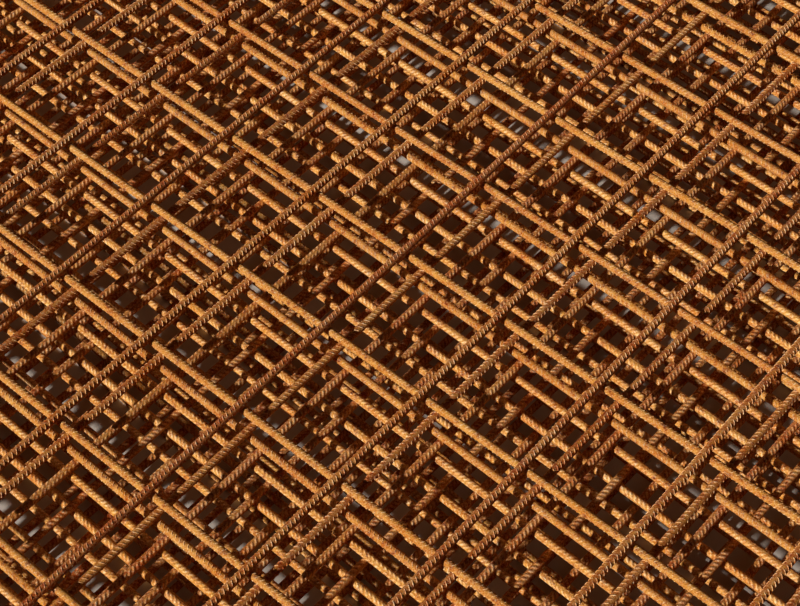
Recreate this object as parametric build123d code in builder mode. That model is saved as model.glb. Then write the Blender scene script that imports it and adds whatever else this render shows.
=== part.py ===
# A stack of welded rebar mats lying flat on the ground.
#
# Each mat is one welded grid: long bars below, cross bars above, fused where they cross.
# The mats lie the same way up, so the long bars of a mat rest on the cross bars of the mat
# below it. They were laid down one by one, so each is a little out of line with the rest.
#
# Frame: the origin is under the middle long bar of the bottom mat, on the ground.
# +X runs along the long bars of the bottom mat, +Y along its cross bars, and +Z is up.
from build123d import *
import os

# Driving sizes, in millimetres
bar_diameter = 10.0
bar_sides = 8  # each bar is a plain prism, because its ribs are too fine for the solids
pitch = 150.0  # from bar to bar, the same both ways
long_bar_length = 3000.0
cross_bar_length = 2000.0
least_overhang = 50.0  # of a bar past the last bar that it crosses

# Where each mat lies, from the bottom up: the place of its centre in millimetres, and the
# degrees that it is turned. The bars seen deeper and deeper in the photo give these places.
mat_places = [
    (0.0, 0.0, 0.0),
    (-28.0, 20.0, 0.0),
    (-45.0, 42.0, 0.55),
    (-76.0, 71.0, 0.85),
    (-95.0, 99.0, 1.05),
    (-128.0, 121.0, 0.95),
    (-160.0, 146.0, 1.25),
    (-181.0, 162.0, 1.15),
    (-209.0, 174.0, 2.3),
]

# Sizes that follow
mat_thickness = 2 * bar_diameter
long_bar_height = bar_diameter / 2
cross_bar_height = long_bar_height + bar_diameter
flats_turn = 180 / bar_sides  # turns a bar so that flats face up and down


def bars_that_fit(length):
    """How many bars, a pitch apart, cross a bar of this length."""
    return int((length - 2 * least_overhang) // pitch) + 1


cross_bar_count = bars_that_fit(long_bar_length)
long_bar_count = bars_that_fit(cross_bar_length)


def make_mat(label, centre_x, centre_y, turn, level):
    """One welded mat, lying on the mats below it."""
    mat_plane = Plane(Location((centre_x, centre_y, level * mat_thickness), (0, 0, turn)))
    with BuildPart() as mat:
        # The long bars, drawn end on
        with BuildSketch(mat_plane * Plane.YZ):
            with Locations((0, long_bar_height)):
                with GridLocations(pitch, 0, long_bar_count, 1):
                    RegularPolygon(
                        bar_diameter / 2, bar_sides, major_radius=False, rotation=flats_turn
                    )
        extrude(amount=long_bar_length / 2, both=True)
        # The cross bars, drawn end on, which are welded to the flats of the long bars
        with BuildSketch(mat_plane * Plane.XZ):
            with Locations((0, cross_bar_height)):
                with GridLocations(pitch, 0, cross_bar_count, 1):
                    RegularPolygon(
                        bar_diameter / 2, bar_sides, major_radius=False, rotation=flats_turn
                    )
        extrude(amount=cross_bar_length / 2, both=True)
    mat.part.label = label
    return mat.part


os.makedirs("parts", exist_ok=True)
for level, (centre_x, centre_y, turn) in enumerate(mat_places):
    mat_name = f"mat_{level + 1}"
    export_step(make_mat(mat_name, centre_x, centre_y, turn, level), f"parts/{mat_name}.step")
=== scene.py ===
# Stack of rusty welded rebar mats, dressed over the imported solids.
# Everything is in metres in the frame of the solids: the origin is on the ground under the
# bottom mat, +X runs along its long bars, +Y along its cross bars and +Z is up.
import bmesh
import bpy
import math
import random
from mathutils import Matrix, Vector


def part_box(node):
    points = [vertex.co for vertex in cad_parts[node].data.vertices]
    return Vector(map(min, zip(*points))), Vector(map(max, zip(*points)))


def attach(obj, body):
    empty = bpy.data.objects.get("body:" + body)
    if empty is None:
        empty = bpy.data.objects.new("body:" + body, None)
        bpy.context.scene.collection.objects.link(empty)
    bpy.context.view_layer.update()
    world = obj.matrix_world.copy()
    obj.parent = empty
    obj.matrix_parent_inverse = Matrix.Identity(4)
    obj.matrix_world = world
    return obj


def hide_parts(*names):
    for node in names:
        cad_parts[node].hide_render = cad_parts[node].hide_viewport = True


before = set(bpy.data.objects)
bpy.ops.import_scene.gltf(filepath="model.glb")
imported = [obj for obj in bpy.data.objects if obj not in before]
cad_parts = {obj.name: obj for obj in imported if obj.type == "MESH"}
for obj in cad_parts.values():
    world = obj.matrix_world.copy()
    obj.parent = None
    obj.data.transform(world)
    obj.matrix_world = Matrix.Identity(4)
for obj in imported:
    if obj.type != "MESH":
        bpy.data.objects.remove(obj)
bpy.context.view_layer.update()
rng = random.Random(29)

# Sizes of the mats
CORE_RADIUS = 0.0051  # of a bar without its ribs, to the corners of its eight sides
SIDES = 8
PITCH = 0.150  # from bar to bar, the same both ways
LONG_LENGTH = 3.0
CROSS_LENGTH = 2.0
LONG_COUNT = 13
CROSS_COUNT = 20
MAT_THICKNESS = 0.020
LONG_HEIGHT = MAT_THICKNESS * 0.25  # from the underside of a mat to the middle of its long bars
CROSS_HEIGHT = MAT_THICKNESS * 0.75
MOST_OFF = 0.0008  # how far a bar lies from its place at most
MOST_SKEW = 0.03  # degrees that a bar is turned from its direction at most

# Sizes of the ribs that are rolled onto a bar, in three rows round it
ROWS = 3
RIB_PITCH = 0.00636
RIB_HEIGHT = 0.00065
RIB_FOOT = 0.0021  # width of a rib where it meets the bar
FOOT_SINK = 0.0002  # how far the foot of a rib goes into the bar
POINT_SINK = 0.0001  # how far the points of a rib go into the bar
RIB_STEPS = 3  # from one point of a rib to the other
RIB_LEAN = 32.0  # degrees from straight round the bar; the first row leans the other way
RIB_SWEEP = 108.0  # degrees of the bar's girth that a rib runs round
BARE_END = RIB_PITCH * 1.5  # at each end of a bar, at least
RIBBED_MATS = 2  # from the top, where the ribs are modelled; below that they are bump
RIB_BUMP_DEPTH = RIB_HEIGHT * 1.4
GRAIN_DEPTH = 0.0007

# Least and most sizes of the metal at a weld
WELD_RADII = (0.0046, 0.0056)
WELD_HALF_HEIGHTS = (0.0026, 0.0034)

# How worn the rust is, from 0 in a valley to 1 on the crest of a modelled rib. The same number
# paints the crests paler, as worn rust and a painted highlight, and the valleys darker, as grime
# and painted shade.
CORE_WEAR_AND_LIGHT = 0.12
BUMPED_CREST_WEAR_AND_LIGHT = 0.6
WELD_WEAR = 0.55

# Mean tone of the rust, which is redder where it is lower, and how much it differs. The long bars
# are set lighter and yellower and the cross bars darker and redder, as painted light and shade for
# a low light that falls across the long bars and along the cross bars.
LONG_TONE_PAINTED_LIGHT = 0.08
CROSS_TONE_PAINTED_SHADE = -0.07
BAR_TONE_SPREAD = 0.03
WELD_TONE = 0.05
WELD_TONE_SPREAD = 0.05

# How far the bars of a mat are rolled over, in degrees: the long bars and how much they differ
# among themselves, then the cross bars. From the top mat down, and over again after the fourth.
BAR_ROLLS = [
    (-110.0, 30.0, -88.0, 14.0),
    (50.0, 40.0, 10.0, 55.0),
    (-95.0, 28.0, -92.0, 30.0),
    (50.0, 40.0, 0.0, 50.0),
]


# Where the mats and their bars lie

def lay_of(node):
    """The centre, height and turn of a mat, read from its solid."""
    places = [vertex.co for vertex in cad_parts[node].data.vertices]
    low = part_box(node)[0]
    x = sum(place.x for place in places) / len(places)
    y = sum(place.y for place in places) / len(places)
    spread_xx = sum((place.x - x) ** 2 for place in places)
    spread_yy = sum((place.y - y) ** 2 for place in places)
    spread_xy = sum((place.x - x) * (place.y - y) for place in places)
    turn = 0.5 * math.atan2(2 * spread_xy, spread_xx - spread_yy)
    return x, y, low.z, turn


def places_of(count):
    """Where so many bars lie, a pitch apart, on both sides of the middle of a mat."""
    return [(i - (count - 1) / 2) * PITCH for i in range(count)]


mat_names = sorted(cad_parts, key=lambda node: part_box(node)[0].z)
mat_lays = {node: lay_of(node) for node in mat_names}
top_x, top_y, top_z, top_turn = mat_lays[mat_names[-1]]
long_places = places_of(LONG_COUNT)
cross_places = places_of(CROSS_COUNT)


def frame_of(node):
    """Takes places on a mat to the frame of the solids."""
    x, y, z, turn = mat_lays[node]
    return Matrix.Translation((x, y, z)) @ Matrix.Rotation(turn, 4, "Z")


# Shader helpers

def add_node(tree, kind, **settings):
    """A new node in a tree, with its settings."""
    node = tree.nodes.new(kind)
    for key, value in settings.items():
        setattr(node, key, value)
    return node


def new_material(name, specular):
    """A new material with a Principled shader; gives both."""
    material = bpy.data.materials.new(name)
    material.use_nodes = True
    tree = material.node_tree
    tree.nodes.clear()
    shader = add_node(tree, "ShaderNodeBsdfPrincipled")
    shader.inputs["Specular IOR Level"].default_value = specular
    output = add_node(tree, "ShaderNodeOutputMaterial")
    tree.links.new(shader.outputs["BSDF"], output.inputs["Surface"])
    return material, shader


def do_math(tree, operation, *values):
    """A Math node on sockets or numbers; gives its value socket."""
    node = add_node(tree, "ShaderNodeMath", operation=operation)
    for value, socket in zip(values, node.inputs):
        if isinstance(value, (int, float)):
            socket.default_value = value
        else:
            tree.links.new(value, socket)
    return node.outputs[0]


def map_range(tree, value, from_min, from_max, to_min=0.0, to_max=1.0):
    """Takes a value from one range to another, held within the second."""
    node = add_node(tree, "ShaderNodeMapRange")
    tree.links.new(value, node.inputs["Value"])
    node.inputs["From Min"].default_value = from_min
    node.inputs["From Max"].default_value = from_max
    node.inputs["To Min"].default_value = to_min
    node.inputs["To Max"].default_value = to_max
    return node.outputs["Result"]


def noise_at(tree, place, scale, detail, roughness, distortion=0.0):
    """Noise on Object coordinates, with a scale in lumps per metre."""
    node = add_node(tree, "ShaderNodeTexNoise")
    tree.links.new(place, node.inputs["Vector"])
    node.inputs["Scale"].default_value = scale
    node.inputs["Detail"].default_value = detail
    node.inputs["Roughness"].default_value = roughness
    node.inputs["Distortion"].default_value = distortion
    return node.outputs["Fac"]


def mix_colour(tree, share, first, second):
    """Mixes two colours, each a socket or a tuple; gives the colour socket."""
    node = add_node(tree, "ShaderNodeMix", data_type="RGBA")
    tree.links.new(share, node.inputs[0])
    for index, colour in ((6, first), (7, second)):
        if isinstance(colour, tuple):
            node.inputs[index].default_value = colour
        else:
            tree.links.new(colour, node.inputs[index])
    return node.outputs[2]


def bump_on(tree, height, depth, normal=None):
    """A Bump node over a normal, or over the plain surface; gives its normal socket."""
    node = add_node(tree, "ShaderNodeBump")
    node.inputs["Distance"].default_value = depth
    node.inputs["Strength"].default_value = 1.0
    tree.links.new(height, node.inputs["Height"])
    if normal is not None:
        tree.links.new(normal, node.inputs["Normal"])
    return node.outputs["Normal"]


def written(red, green, blue):
    """A colour given as 0 to 255 in the picture, as the linear values a shader takes."""
    def linear(value):
        value = value / 255
        return value / 12.92 if value <= 0.04045 else ((value + 0.055) / 1.055) ** 2.4
    return (linear(red), linear(green), linear(blue), 1.0)


# Rust

RUST_DEEP = written(88, 26, 5)
RUST_RED = written(194, 86, 22)
RUST_ORANGE = written(240, 170, 68)
RUST_TAN = written(253, 225, 172)
RUST_DUST_AND_HIGHLIGHT = written(255, 239, 205)


def make_rust_group():
    """Rust colour, roughness and grain that every bar and weld shares.

    Tone is a number for each bar, so that no two bars are quite alike; its mean is set lighter on
    the long bars and darker and redder on the cross bars, as painted light and shade. The input
    for worn rust and painted light is 1 on the crests of the ribs and 0 in the valleys between
    them: crests are painted paler, as worn rust and a painted highlight, and valleys darker, as
    grime and painted shade.
    """
    group = bpy.data.node_groups.new("rust", "ShaderNodeTree")
    face = group.interface
    face.new_socket("Place", in_out="INPUT", socket_type="NodeSocketVector")
    face.new_socket("Tone", in_out="INPUT", socket_type="NodeSocketFloat")
    face.new_socket("Wear and painted light", in_out="INPUT", socket_type="NodeSocketFloat")
    face.new_socket("Colour", in_out="OUTPUT", socket_type="NodeSocketColor")
    face.new_socket("Roughness", in_out="OUTPUT", socket_type="NodeSocketFloat")
    face.new_socket("Grain", in_out="OUTPUT", socket_type="NodeSocketFloat")
    came_in = add_node(group, "NodeGroupInput")
    going_out = add_node(group, "NodeGroupOutput")
    place = came_in.outputs["Place"]
    tone = came_in.outputs["Tone"]
    wear_and_painted_light = came_in.outputs["Wear and painted light"]

    broad = noise_at(group, place, 22.0, 3.0, 0.6)
    patches = noise_at(group, place, 150.0, 4.0, 0.62, 0.4)
    specks = noise_at(group, place, 560.0, 2.0, 0.6)
    grain = noise_at(group, place, 1300.0, 2.0, 0.6)

    # From red-brown to orange in patches, over a slow drift along each bar
    drift = do_math(group, "ADD", do_math(group, "MULTIPLY", broad, 0.45), tone)
    warm = map_range(group, do_math(group, "ADD", drift, patches), 0.50, 0.98)
    colour = mix_colour(group, warm, RUST_RED, RUST_ORANGE)
    # Dark scale where the patches dip
    dip = do_math(group, "MULTIPLY", map_range(group, patches, 0.44, 0.30), 0.75)
    colour = mix_colour(group, dip, colour, RUST_DEEP)
    # Pale dusty rust in specks, most of it on the crests, where it is also a painted highlight
    dust_and_highlight = do_math(group, "MULTIPLY", map_range(group, specks, 0.52, 0.62),
                   do_math(group, "MULTIPLY_ADD", wear_and_painted_light, 0.55, 0.30))
    colour = mix_colour(group, dust_and_highlight, colour, RUST_TAN)
    # The crests painted paler still, as worn rust and a painted highlight
    crest = do_math(group, "MULTIPLY", wear_and_painted_light, map_range(group, broad, 0.3, 0.7))
    colour = mix_colour(group, do_math(group, "MULTIPLY", crest, 0.5), colour, RUST_DUST_AND_HIGHLIGHT)
    # Dark pits between the specks
    pits = do_math(group, "MULTIPLY", map_range(group, specks, 0.46, 0.36), 0.45)
    colour = mix_colour(group, pits, colour, RUST_DEEP)
    # Grime and painted shade in the valleys between the ribs
    valley = do_math(group, "MULTIPLY", map_range(group, wear_and_painted_light, 0.35, 0.0), 0.5)
    colour = mix_colour(group, valley, colour, RUST_DEEP)

    rough = map_range(group, patches, 0.3, 0.7, 0.78, 0.94)
    grain_height = do_math(group, "ADD", do_math(group, "MULTIPLY", specks, 0.7), grain)
    group.links.new(colour, going_out.inputs["Colour"])
    group.links.new(rough, going_out.inputs["Roughness"])
    group.links.new(grain_height, going_out.inputs["Grain"])
    return group


rust_group = make_rust_group()


def rib_height_from_map(tree):
    """Height of the ribs from a bar's map of girth and length, from 0 to 1."""
    uv = add_node(tree, "ShaderNodeUVMap", uv_map="bar")
    split = add_node(tree, "ShaderNodeSeparateXYZ")
    tree.links.new(uv.outputs["UV"], split.inputs[0])
    in_rows = do_math(tree, "MULTIPLY", do_math(tree, "FRACT", split.outputs["X"]), ROWS)
    row = do_math(tree, "FLOOR", in_rows)
    across = do_math(tree, "SUBTRACT", do_math(tree, "FRACT", in_rows), 0.5)
    # The first row leans one way and the others lean the other way
    way = do_math(tree, "MULTIPLY", do_math(tree, "GREATER_THAN", row, 0.5), 2.0)
    way = do_math(tree, "SUBTRACT", way, 1.0)
    lean = 2 * math.pi * CORE_RADIUS / ROWS * math.tan(math.radians(RIB_LEAN))
    leaned = do_math(tree, "MULTIPLY", do_math(tree, "MULTIPLY", across, lean), way)
    along = do_math(tree, "ADD", split.outputs["Y"], leaned)
    turns = do_math(tree, "SUBTRACT", do_math(tree, "DIVIDE", along, RIB_PITCH),
                    do_math(tree, "MULTIPLY", row, 1 / ROWS))
    from_crest = do_math(tree, "SUBTRACT", do_math(tree, "FRACT", turns), 0.5)
    from_crest = do_math(tree, "ABSOLUTE", from_crest)
    # The flanks are wider than a modelled rib's, because bump throws no shadow
    flank = map_range(tree, from_crest, 0.42, 0.06)
    # A rib fades out towards the ends of its sweep
    reach = RIB_SWEEP / 360 * ROWS / 2
    fade = map_range(tree, do_math(tree, "ABSOLUTE", across), reach, reach * 0.45)
    return do_math(tree, "MULTIPLY", flank, fade)


def make_bar_rust(name, ribs_in_bump):
    """Matt rust for bars and welds, with or without ribs in its bump."""
    material, shader = new_material(name, 0.02)
    tree = material.node_tree
    place = add_node(tree, "ShaderNodeTexCoord").outputs["Object"]
    tone = add_node(tree, "ShaderNodeAttribute", attribute_name="tone").outputs["Fac"]
    rust = add_node(tree, "ShaderNodeGroup", node_tree=rust_group)
    normal = bump_on(tree, rust.outputs["Grain"], GRAIN_DEPTH)
    if ribs_in_bump:
        height = rib_height_from_map(tree)
        # The crests of the bump ribs are painted paler and the valleys darker, as worn rust and
        # grime and as painted highlight and shade in place of the ribs' own shadows
        wear_and_painted_light = map_range(tree, height, 0.0, 1.0, CORE_WEAR_AND_LIGHT, BUMPED_CREST_WEAR_AND_LIGHT)
        normal = bump_on(tree, height, RIB_BUMP_DEPTH, normal)
    else:
        wear_and_painted_light = add_node(tree, "ShaderNodeAttribute", attribute_name="crest").outputs["Fac"]
    tree.links.new(place, rust.inputs["Place"])
    tree.links.new(tone, rust.inputs["Tone"])
    tree.links.new(wear_and_painted_light, rust.inputs["Wear and painted light"])
    tree.links.new(rust.outputs["Colour"], shader.inputs["Base Color"])
    tree.links.new(rust.outputs["Roughness"], shader.inputs["Roughness"])
    tree.links.new(normal, shader.inputs["Normal"])
    return material


ribbed_rust = make_bar_rust("ribbed_rust", False)
bumped_rust = make_bar_rust("bumped_rust", True)


# Bars and welds

def keep(mesh, name):
    """Turns a finished bmesh into a mesh."""
    data = bpy.data.meshes.new(name)
    mesh.to_mesh(data)
    mesh.free()
    return data


def make_core(length):
    """A bar without its ribs, lying along X and closed at both ends."""
    mesh = bmesh.new()
    bmesh.ops.create_cone(mesh, cap_ends=True, segments=SIDES, radius1=CORE_RADIUS,
                          radius2=CORE_RADIUS, depth=length)
    bmesh.ops.rotate(mesh, verts=mesh.verts, matrix=Matrix.Rotation(math.pi / SIDES, 3, "Z"))
    bmesh.ops.rotate(mesh, verts=mesh.verts, matrix=Matrix.Rotation(math.pi / 2, 3, "Y"))
    crest = mesh.verts.layers.float.new("crest")
    for vertex in mesh.verts:
        vertex[crest] = CORE_WEAR_AND_LIGHT
    for face in mesh.faces:
        face.smooth = len(face.verts) == 4
    for edge in mesh.edges:
        edge.smooth = all(len(face.verts) == 4 for face in edge.link_faces)
    map_girth(mesh)
    return mesh


def map_girth(mesh):
    """Lays the map of girth and length on a bar, for ribs that are bump.

    Across is the share of the girth, from the edge of the first row of ribs, and up is
    metres along the bar.
    """
    layer = mesh.loops.layers.uv.new("bar")
    first_edge = math.pi / 2 - math.pi / ROWS
    for face in mesh.faces:
        middle = face.calc_center_median()
        centre = math.atan2(middle.z, middle.y)
        for loop in face.loops:
            place = loop.vert.co
            angle = math.atan2(place.z, place.y)
            # Held near the middle of the face, so that no face spans the join of the map
            angle = centre + (angle - centre + math.pi) % (2 * math.pi) - math.pi
            loop[layer].uv = ((angle - first_edge) / (2 * math.pi), place.x)


def make_rib(lean):
    """One crescent rib over the top of a bar, tapering to a point at each end."""
    mesh = bmesh.new()
    half_sweep = math.radians(RIB_SWEEP / 2)
    section = []
    for x, height in ((-RIB_FOOT / 2, -FOOT_SINK), (0.0, RIB_HEIGHT), (RIB_FOOT / 2, -FOOT_SINK)):
        section.append(mesh.verts.new((x, 0, CORE_RADIUS + height)))
    bmesh.ops.rotate(mesh, verts=section, matrix=Matrix.Rotation(half_sweep, 3, "X"))
    outline = [mesh.edges.new((section[i], section[(i + 1) % 3])) for i in range(3)]
    bmesh.ops.spin(mesh, geom=section + outline, axis=(1, 0, 0), cent=(0, 0, 0),
                   angle=-2 * half_sweep, steps=RIB_STEPS, use_merge=False)
    # Crest is 1 on top of a rib and 0 at its foot: the rust paints the top paler, as worn rust and
    # a painted highlight, and the foot darker, as grime and painted shade
    crest = mesh.verts.layers.float.new("crest")
    for vertex in mesh.verts:
        reach = math.hypot(vertex.co.y, vertex.co.z)
        vertex[crest] = 1.0 if reach > CORE_RADIUS else 0.0
    # Draw both ends to a point
    across = sorted(mesh.verts, key=lambda vertex: math.atan2(vertex.co.y, vertex.co.z))
    for ends in (across[:3], across[-3:]):
        point = (ends[0].co + ends[1].co + ends[2].co) / 3
        point = Vector((0, point.y, point.z)).normalized() * (CORE_RADIUS - POINT_SINK)
        bmesh.ops.pointmerge(mesh, verts=ends, merge_co=point)
    # Lean it along the bar
    for vertex in mesh.verts:
        vertex.co.x += vertex.co.y * math.tan(math.radians(lean))
    bmesh.ops.recalc_face_normals(mesh, faces=mesh.faces)
    return mesh


def make_row(length, lean):
    """One row of ribs along the top of a bar, doubled over and over from one rib."""
    mesh = make_rib(lean)
    slope = math.tan(math.radians(lean))
    count = int((length - 2 * BARE_END) / RIB_PITCH)
    made = 1
    while made < count:
        extra = min(made, count - made)
        geom = mesh.verts[:] + mesh.edges[:] + mesh.faces[:]
        if extra < made:
            # Only the first ribs are copied, as many as are still missing
            reach = (extra - 0.5) * RIB_PITCH
            chosen = [vertex for vertex in mesh.verts if vertex.co.x - vertex.co.y * slope < reach]
            inside = set(chosen)
            geom = chosen
            geom += [edge for edge in mesh.edges if all(v in inside for v in edge.verts)]
            geom += [face for face in mesh.faces if all(v in inside for v in face.verts)]
        copied = bmesh.ops.duplicate(mesh, geom=geom)["geom"]
        fresh = [item for item in copied if isinstance(item, bmesh.types.BMVert)]
        bmesh.ops.translate(mesh, verts=fresh, vec=(made * RIB_PITCH, 0, 0))
        made += extra
    start = -(count - 1) / 2 * RIB_PITCH
    bmesh.ops.translate(mesh, verts=mesh.verts, vec=(start, 0, 0))
    return mesh


def make_ribs(length):
    """The three rows of ribs of one bar, each a third of a pitch on from the last."""
    mesh = bmesh.new()
    for row in range(ROWS):
        done = len(mesh.verts)
        mesh.from_mesh(keep(make_row(length, RIB_LEAN if row else -RIB_LEAN), "row"))
        mesh.verts.ensure_lookup_table()
        fresh = mesh.verts[done:]
        round_bar = Matrix.Rotation(2 * math.pi / ROWS * row, 3, "X")
        bmesh.ops.rotate(mesh, verts=fresh, matrix=round_bar)
        bmesh.ops.translate(mesh, verts=fresh, vec=(RIB_PITCH / ROWS * row, 0, 0))
    return mesh


def add_copy(mesh, source, place, tone):
    """Adds one copy of a source mesh in its place, with its own tone of rust."""
    before = len(mesh.verts)
    mesh.from_mesh(source)
    layer = mesh.verts.layers.float.get("tone")
    if layer is None:
        layer = mesh.verts.layers.float.new("tone")
    mesh.verts.ensure_lookup_table()
    fresh = mesh.verts[before:]
    bmesh.ops.transform(mesh, matrix=place, verts=fresh)
    for vertex in fresh:
        vertex[layer] = tone


def make_piece(name, mesh, node, material):
    """A finished piece of one mat, standing for its solid."""
    piece = bpy.data.objects.new(name, keep(mesh, name))
    bpy.context.scene.collection.objects.link(piece)
    piece.data.materials.append(material)
    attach(piece, "root")
    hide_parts(node)


def make_bars(name, node, places, roll, spread, ribbed, turned):
    """Some of the long bars of one mat, or of its cross bars, which are turned."""
    length = CROSS_LENGTH if turned else LONG_LENGTH
    core = keep(make_core(length), "core")
    ribs = keep(make_ribs(length), "ribs") if ribbed else None
    mesh = bmesh.new()
    for place in places:
        off = rng.uniform(-MOST_OFF, MOST_OFF)
        skew = math.radians(rng.uniform(-MOST_SKEW, MOST_SKEW))
        over = math.radians(roll + rng.gauss(0, spread))
        # The mean tone paints the long bars lighter and the cross bars darker and redder, as
        # painted light and shade; the spread round it is random
        tone = rng.gauss(CROSS_TONE_PAINTED_SHADE if turned else LONG_TONE_PAINTED_LIGHT, BAR_TONE_SPREAD)
        if turned:
            spot = Matrix.Translation((place + off, 0, CROSS_HEIGHT))
            spot = spot @ Matrix.Rotation(math.pi / 2 + skew, 4, "Z")
        else:
            spot = Matrix.Translation((0, place + off, LONG_HEIGHT))
            spot = spot @ Matrix.Rotation(skew, 4, "Z")
        spot = frame_of(node) @ spot @ Matrix.Rotation(over, 4, "X")
        add_copy(mesh, core, spot, tone)
        if ribbed:
            phase = Matrix.Translation((rng.uniform(-0.5, 0.5) * RIB_PITCH, 0, 0))
            add_copy(mesh, ribs, spot @ phase, tone)
    make_piece(name, mesh, node, ribbed_rust if ribbed else bumped_rust)


def make_welds(name, node):
    """A squeezed collar of metal at each crossing of one mat, between its two bars."""
    source = bmesh.new()
    bmesh.ops.create_icosphere(source, subdivisions=1, radius=1.0)
    for face in source.faces:
        face.smooth = True
    crest = source.verts.layers.float.new("crest")
    for vertex in source.verts:
        vertex[crest] = WELD_WEAR
    blob = keep(source, "blob")
    mesh = bmesh.new()
    for y in long_places:
        for x in cross_places:
            spot = Matrix.Translation((x, y, MAT_THICKNESS / 2))
            spot = spot @ Matrix.Rotation(rng.uniform(0, math.pi), 4, "Z")
            wide = rng.uniform(*WELD_RADII)
            long = rng.uniform(*WELD_RADII)
            high = rng.uniform(*WELD_HALF_HEIGHTS)
            size = Matrix.Diagonal((wide, long, high, 1))
            tone = rng.gauss(WELD_TONE, WELD_TONE_SPREAD)
            add_copy(mesh, blob, frame_of(node) @ spot @ size, tone)
    make_piece(name, mesh, node, ribbed_rust)


def halves(places):
    """The places before the middle one, and the rest."""
    middle = len(places) // 2
    return places[:middle], places[middle:]


for level, node in enumerate(reversed(mat_names)):
    ribbed = level < RIBBED_MATS
    long_roll, long_spread, cross_roll, cross_spread = BAR_ROLLS[level % len(BAR_ROLLS)]
    # Each half of the bars is a piece of its own, so that no piece has too many faces
    for half in (0, 1):
        make_bars(f"{node}_long_bars_{half + 1}", node, halves(long_places)[half],
                  long_roll, long_spread, ribbed, False)
        make_bars(f"{node}_cross_bars_{half + 1}", node, halves(cross_places)[half],
                  cross_roll, cross_spread, ribbed, True)
    make_welds(node + "_welds", node)


# Floor, light and camera

def make_floor():
    """A plain pale floor, far larger than the stack."""
    mesh = bmesh.new()
    bmesh.ops.create_grid(mesh, x_segments=1, y_segments=1, size=30.0)
    floor = bpy.data.objects.new("floor", keep(mesh, "floor"))
    bpy.context.scene.collection.objects.link(floor)
    material, shader = new_material("pale_floor", 0.0)
    shader.inputs["Base Color"].default_value = (0.58, 0.51, 0.45, 1.0)
    shader.inputs["Roughness"].default_value = 0.9
    floor.data.materials.append(material)


def add_sun(name, energy, breadth, colour, bearing):
    """A lamp so many degrees broad, whose light comes from a bearing on the top mat."""
    sun = bpy.data.lights.new(name, "SUN")
    sun.energy = energy
    sun.angle = math.radians(breadth)
    sun.color = colour
    lamp = bpy.data.objects.new(name, sun)
    bpy.context.scene.collection.objects.link(lamp)
    bearing = Matrix.Rotation(top_turn, 3, "Z") @ Vector(bearing)
    lamp.rotation_euler = bearing.to_track_quat("Z", "Y").to_euler()


def make_surroundings():
    """A weak warm fill from all round; looked at directly, the surroundings are pale."""
    world = bpy.data.worlds.new("studio")
    bpy.context.scene.world = world
    world.use_nodes = True
    tree = world.node_tree
    tree.nodes.clear()
    fill = add_node(tree, "ShaderNodeBackground")
    fill.inputs["Color"].default_value = (1.0, 0.60, 0.37, 1.0)
    fill.inputs["Strength"].default_value = 0.022
    seen = add_node(tree, "ShaderNodeBackground")
    seen.inputs["Color"].default_value = (0.93, 0.93, 0.93, 1.0)
    seen.inputs["Strength"].default_value = 1.0
    path = add_node(tree, "ShaderNodeLightPath")
    shows = do_math(tree, "MAXIMUM", path.outputs["Is Camera Ray"], path.outputs["Is Glossy Ray"])
    shows = do_math(tree, "MAXIMUM", shows, path.outputs["Is Transmission Ray"])
    blend = add_node(tree, "ShaderNodeMixShader")
    output = add_node(tree, "ShaderNodeOutputWorld")
    tree.links.new(shows, blend.inputs[0])
    tree.links.new(fill.outputs[0], blend.inputs[1])
    tree.links.new(seen.outputs[0], blend.inputs[2])
    tree.links.new(blend.outputs[0], output.inputs["Surface"])


def make_camera():
    """Stands where the photo was taken, as worked out from the bars of the top mat."""
    data = bpy.data.cameras.new("camera")
    data.sensor_width = 36.0
    data.lens = 79.49
    camera = bpy.data.objects.new("camera", data)
    bpy.context.scene.collection.objects.link(camera)
    on_top_mat = Matrix.Translation((top_x, top_y, top_z + CROSS_HEIGHT))
    stand = Matrix.Translation((0.9162, -1.0407, 1.7362))
    tilt, roll, heading = (math.radians(angle) for angle in (35.848, -0.627, 40.110))
    look = Matrix.Rotation(heading, 4, "Z") @ Matrix.Rotation(roll, 4, "Y")
    look = look @ Matrix.Rotation(tilt, 4, "X")
    camera.matrix_world = on_top_mat @ Matrix.Rotation(top_turn, 4, "Z") @ stand @ look
    bpy.context.scene.camera = camera


make_floor()
# A low key from behind the camera on the left, and a weak broad lamp from the far left
add_sun("key", 4.85, 1.2, (1.0, 0.98, 0.92), (-0.16, -0.90, 0.42))
add_sun("side", 0.36, 30, (1.0, 0.70, 0.48), (-0.88, 0.05, 0.46))
make_surroundings()
make_camera()
bpy.context.scene.view_settings.view_transform = "Standard"
